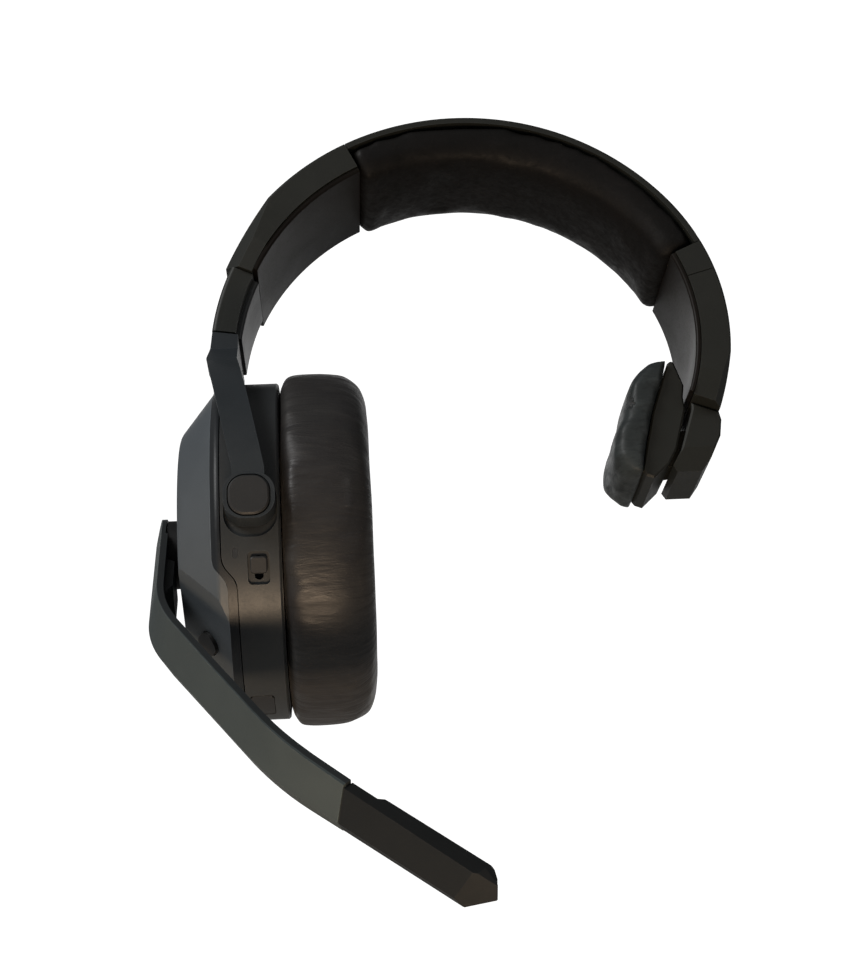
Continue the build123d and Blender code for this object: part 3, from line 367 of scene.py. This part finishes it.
def pump(obj, voxel, cap, held, pressure=4.0, frames=20):
    """Fills the piece with air as cloth, keeping each point within cap of its start and held points still."""
    remesh = obj.modifiers.new("remesh", "REMESH")
    remesh.mode = "VOXEL"
    remesh.voxel_size = voxel
    apply_modifiers(obj)
    start = [v.co.copy() for v in obj.data.vertices]
    group = obj.vertex_groups.new(name="pin")
    group.add([i for i, c in enumerate(start) if held(c)], 1.0, "REPLACE")
    cloth_mod = obj.modifiers.new("cloth", "CLOTH")
    settings = cloth_mod.settings
    settings.use_pressure = True
    settings.uniform_pressure_force = pressure
    settings.vertex_group_mass = "pin"
    settings.effector_weights.gravity = 0
    settings.quality = 6
    cloth_mod.point_cache.frame_start = 1
    cloth_mod.point_cache.frame_end = frames
    for f in range(1, frames + 1):
        scene.frame_set(f)
    apply_modifiers(obj)
    scene.frame_set(1)
    for v, c in zip(obj.data.vertices, start):
        move = v.co - c
        if move.length > cap:
            v.co = c + move.normalized() * cap


def subdivide(obj, levels):
    sub = obj.modifiers.new("sub", "SUBSURF")
    sub.levels = levels
    sub.render_levels = levels
    apply_modifiers(obj)


def displace(obj, height):
    obj.data.update()
    normals = [n.vector.copy() for n in obj.data.vertex_normals]
    for v, n in zip(obj.data.vertices, normals):
        v.co += n * height(v.co)
    obj.data.update()


def ridge(p, seed):
    """Thin raised creases, 0 to 1."""
    value = noise.noise(p + Vector((seed * 7.31, seed * 3.17, seed * 1.93)))
    return max(0.0, 1 - abs(value) * 5.5)


def add_corner(points, cx, cy, radius, a0, a1, n):
    """Adds n steps of an arc, angles in degrees, to a section."""
    for i in range(n + 1):
        a = math.radians(a0 + (a1 - a0) * i / n)
        points.append((cx + radius * math.cos(a), cy + radius * math.sin(a)))


def ear_cushion():
    """The ear cushion, a ring with soft front edges, tucked in at the housing and creased round the ring."""
    bm = bmesh.new()
    x0, x1 = cushion_low.x, cushion_high.x
    half = (CUSHION_R - CUSHION_HOLE) / 2
    middle = (CUSHION_R + CUSHION_HOLE) / 2
    profile = []

    soft = 0.0088
    tuck = 0.0018
    waist = (x0 + x1) / 2 - 0.003
    bulge = half + 0.0001
    add_corner(profile, x1 - soft, middle + half - soft, soft, 0, 90, 8)
    profile.append((waist, middle + bulge))
    add_corner(profile, x0 + tuck, middle + half - tuck, tuck, 90, 180, 4)
    add_corner(profile, x0 + tuck, middle - half + tuck, tuck, 180, 270, 4)
    profile.append((waist, middle - bulge))
    add_corner(profile, x1 - soft, middle - half + soft, soft, 270, 360, 8)
    turns = 144
    rings = []
    for i in range(turns):
        a = 2 * math.pi * i / turns
        rings.append([bm.verts.new((x, r * math.cos(a), r * math.sin(a))) for x, r in profile])
    for i in range(turns):
        a, b = rings[i], rings[(i + 1) % turns]
        for j in range(len(profile)):
            k = (j + 1) % len(profile)
            bm.faces.new((a[j], a[k], b[k], b[j]))
    obj = link_mesh("ear_cushion_cover", bm, cushion_skin)
    pump(obj, voxel=0.0035, cap=0.0006, held=lambda c: c.x < x0 + 0.003)
    subdivide(obj, 2)

    def height(c):
        angle = math.atan2(c.z, c.y)
        radius = math.hypot(c.y, c.z)
        along = Vector((c.x * 38, radius * 38, angle * 20))
        fade = min(1.0, max(0.0, (c.x - x0 - 0.0015) / 0.004))
        fade *= min(1.0, max(0.0, (x1 - 0.003 - c.x) / 0.005))
        where = Vector((c.x * 30, math.cos(angle) * 2.2, math.sin(angle) * 2.2)) + Vector((5, 1, 2))
        patch = 0.45 + 0.55 * noise.noise(where)
        fine = ridge(along, 1) * 0.6 + ridge(along * 2.1, 2) * 0.4
        return -0.00016 * fine * fade * max(0.0, patch) + 0.00025 * noise.noise(c * 60)

    displace(obj, height)
    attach(obj, "ear_cup")
    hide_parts("ear_cushion")


RIGHT_X = BAND_X + EASE_RIGHT * math.cos(math.radians(TURN_RIGHT))
RIGHT_Z = BAND_Z + EASE_RIGHT * math.sin(math.radians(TURN_RIGHT))


def band_place(radius, angle):
    """Point on the band's curve, which tightens beyond TURN_RIGHT."""
    a = math.radians(angle)
    if angle < TURN_RIGHT:
        return RIGHT_X + (radius - EASE_RIGHT) * math.cos(a), RIGHT_Z + (radius - EASE_RIGHT) * math.sin(a)
    return BAND_X + radius * math.cos(a), BAND_Z + radius * math.sin(a)


def band_polar(c):
    """Radius and angle of a point, the other way round."""
    a = math.degrees(math.atan2(c.z - BAND_Z, c.x - BAND_X))
    if a < TURN_RIGHT:
        a = math.degrees(math.atan2(c.z - RIGHT_Z, c.x - RIGHT_X))
        return math.hypot(c.z - RIGHT_Z, c.x - RIGHT_X) + EASE_RIGHT, a
    return math.hypot(c.z - BAND_Z, c.x - BAND_X), a


def band_pad():
    """The leatherette pad under the crown, a round-edged sleeve with tucked ends."""
    bm = bmesh.new()
    section = []
    edge = 0.0052
    sag = 0.0004
    tuck_depth, tuck_run = 0.0007, 0.0014

    small = 0.0008
    add_corner(section, PAD_HALF - small, PAD_OUT_R - small, small, 90, 0, 3)
    add_corner(section, PAD_HALF - edge, PAD_IN_R + edge, edge, 0, -90, 8)
    for f in (0.6, 0.3, 0.0, -0.3, -0.6):
        section.append((f * (PAD_HALF - edge), PAD_IN_R - sag * (1 - f * f)))
    add_corner(section, -PAD_HALF + edge, PAD_IN_R + edge, edge, -90, -180, 8)
    add_corner(section, -PAD_HALF + small, PAD_OUT_R - small, small, 180, 90, 3)
    steps = 96
    rings = []
    for i in range(steps + 1):
        t = i / steps
        ends = min(t, 1 - t) * math.radians(SEAM_LEFT - SEAM_RIGHT) * PAD_IN_R
        tuck = tuck_depth * (1 - min(1.0, ends / tuck_run)) ** 2
        angle = SEAM_RIGHT + (SEAM_LEFT - SEAM_RIGHT) * t
        ring = []
        for y, r in section:
            dy, dr = y, r - (PAD_IN_R + PAD_OUT_R) / 2
            length = math.hypot(dy, dr)
            y2 = y - dy / length * tuck
            r2 = r - dr / length * tuck
            x, z = band_place(r2, angle)
            ring.append(bm.verts.new((x, y2, z)))
        rings.append(ring)
    for a, b in zip(rings, rings[1:]):
        for j in range(len(section)):
            k = (j + 1) % len(section)
            bm.faces.new((a[j], a[k], b[k], b[j]))
    bm.faces.new(rings[0])
    bm.faces.new(list(reversed(rings[-1])))
    obj = link_mesh("band_pad_cover", bm, band_skin)
    skirt = 0.003
    end_run = 2.0

    def held(c):
        r, a = band_polar(c)
        return r > PAD_OUT_R - skirt or a > SEAM_LEFT - end_run or a < SEAM_RIGHT + end_run

    pump(obj, voxel=0.0024, cap=0.0007, held=held)
    subdivide(obj, 1)
    displace(obj, lambda c: 0.00018 * noise.noise(c * 55) + 0.00007 * noise.noise(c * 190))
    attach(obj, "headband")
    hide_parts("band_pad")


# Side outline of the temple pad, mm, the same points as the CAD solid's
REST_FRONT = [(79.8, 44.2), (77.3, 45.2), (74.3, 44.2), (70.4, 40.4), (68.5, 35.6), (67.3, 29.6),
              (65.1, 26.2), (63.5, 21.2), (63.3, 17.4), (65.2, 14.2), (69.2, 11.8), (71.2, 12.4)]
REST_BACK = [(70.6, 13.8), (72.5, 21.6), (74.7, 30.1)]
REST_SEAM = REST_BACK + [(80.2, 42.9)]


def seam_x(z):
    """Where the pad meets its bracket at height z."""
    points = [(x / 1000, h / 1000) for x, h in REST_SEAM]
    for (xa, za), (xb, zb) in zip(points, points[1:]):
        if z <= zb or (xb, zb) == points[-1]:
            return xa + (xb - xa) * (z - za) / (zb - za)


def catmull(points, steps):
    out = []
    n = len(points)
    for i in range(n - 1):
        p0 = Vector(points[max(i - 1, 0)])
        p1, p2 = Vector(points[i]), Vector(points[i + 1])
        p3 = Vector(points[min(i + 2, n - 1)])
        for k in range(steps):
            t = k / steps
            out.append(0.5 * ((2 * p1) + (p2 - p0) * t + (2 * p0 - 5 * p1 + 4 * p2 - p3) * t * t
                              + (3 * p1 - p0 - 3 * p2 + p3) * t ** 3))
    out.append(Vector(points[-1]))
    return out


def temple_pad():
    """The temple pad, rounded at both ends and flat against its bracket."""
    outline = catmull(REST_FRONT, 5) + [Vector(p) for p in REST_BACK]
    middle = sum(outline, Vector((0, 0))) / len(outline)
    half = (rest_high.y - rest_low.y) / 2
    edge = 0.0048
    back_run = 0.004            # how far from the bracket the rounding fades out
    layers = []
    for i in range(9):
        a = math.radians(90 * i / 8)
        layers.append((half - edge + edge * math.sin(a), edge * (1 - math.cos(a))))
    layers = [(-y, inset) for y, inset in reversed(layers)] + [(0.0, 0.0)] + layers
    bm = bmesh.new()
    rings = []
    for y, inset in layers:
        ring = []
        for p in outline:
            q = p / 1000
            m = middle / 1000
            toward = m - q
            free = (seam_x(q.y) - q.x) / back_run > 0.9
            q = q + toward.normalized() * min(inset * (0.9 if free else 0.12), toward.length * 0.6)
            ring.append(bm.verts.new((q.x, y, q.y)))
        rings.append(ring)
    n = len(outline)
    for a, b in zip(rings, rings[1:]):
        for j in range(n):
            k = (j + 1) % n
            bm.faces.new((a[j], a[k], b[k], b[j]))
    bm.faces.new(rings[0])
    bm.faces.new(list(reversed(rings[-1])))
    obj = link_mesh("temple_pad_cover", bm, temple_skin)
    def held(c):
        return c.x > seam_x(c.z) - 0.002

    pump(obj, voxel=0.0022, cap=0.0009, held=held)
    subdivide(obj, 1)

    def height(c):
        wave = Vector((c.x * 40, c.y * 26, c.z * 120))
        return -0.00018 * ridge(wave, 4) + 0.0002 * noise.noise(c * 80)

    displace(obj, height)
    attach(obj, "temple_rest")
    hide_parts("temple_pad")


# ---------------------------------------------------------------- skins, and the pieces built
cushion_skin = leather("cushion_leatherette", linear(45, 43, 41), linear(33, 31, 31), around="ring")
band_skin = leather("band_leatherette", linear(19, 17, 16), linear(12, 11, 10), wrinkle=0.00006, grain=1500,
                    rough=0.5, spec=0.14, sheen=0.0)
temple_skin = leather("temple_leatherette", linear(52, 57, 58), linear(36, 40, 41), around=(0.5, 0.4, 1.3),
                      wrinkle=0.00014, torn=((0.0678, -0.0140, 0.0330), 0.0019),
                      spec=0.2, sheen=0.0)
ear_cushion()
band_pad()
temple_pad()


# ---------------------------------------------------------------- light and floor
def area(name, place, target, size, power, colour=(1, 1, 1)):
    data = bpy.data.lights.new(name, "AREA")
    data.shape = "RECTANGLE"
    data.size, data.size_y = size
    data.energy = power
    data.color = colour
    obj = bpy.data.objects.new(name, data)
    scene.collection.objects.link(obj)
    obj.location = place
    obj.rotation_mode = "QUATERNION"
    obj.rotation_quaternion = (Vector(target) - Vector(place)).to_track_quat("-Z", "Y")
    obj.visible_camera = False
    return obj


def make_stage():
    """A pale floor under the object and a white sheet far behind it."""
    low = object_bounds()[0]
    bm = bmesh.new()
    bmesh.ops.create_grid(bm, x_segments=8, y_segments=8, size=FLOOR_SIZE)
    floor = link_mesh("floor", bm, stage_mat("pale_floor", 0.0))
    floor.location = (0, 0, low.z - FLOOR_DROP)
    bm = bmesh.new()
    bmesh.ops.create_grid(bm, x_segments=2, y_segments=2, size=BACKDROP_SIZE)
    back = link_mesh("backdrop", bm, stage_mat("white_backdrop", 1.0))
    back.matrix_world = scene.camera.matrix_world @ Matrix.Translation((0, 0, -BACKDROP_DISTANCE))


def stage_mat(name, glow):
    m = Mat(name, rough=0.85, spec=0.2)
    m.colour(m.mix(m.remap(m.noise(3), 0.3, 0.7, 0, 1), linear(180, 180, 178), linear(188, 188, 187)))
    m.shader.inputs["Emission Color"].default_value = (1, 1, 1, 1)
    m.shader.inputs["Emission Strength"].default_value = glow
    return m.mat


make_stage()
world = bpy.data.worlds.new("world")
scene.world = world
world.use_nodes = True
world.node_tree.nodes["Background"].inputs["Color"].default_value = (1.0, 1.0, 1.0, 1)
world.node_tree.nodes["Background"].inputs["Strength"].default_value = 0.14
centre = Vector((0.02, 0, 0.02))
area("key", place=(-0.85, -0.65, 0.65), target=centre, size=(0.6, 0.6), power=11.5)
area("fill", place=(0.7, -0.9, 0.35), target=centre, size=(0.7, 0.7), power=1.2)
area("warm_low", place=(-0.05, -0.20, -0.24), target=(-0.01, -0.03, -0.03), size=(0.09, 0.04), power=0.55,
     colour=(1.0, 0.74, 0.50))
scene.view_settings.view_transform = "Standard"
scene.view_settings.look = "None"
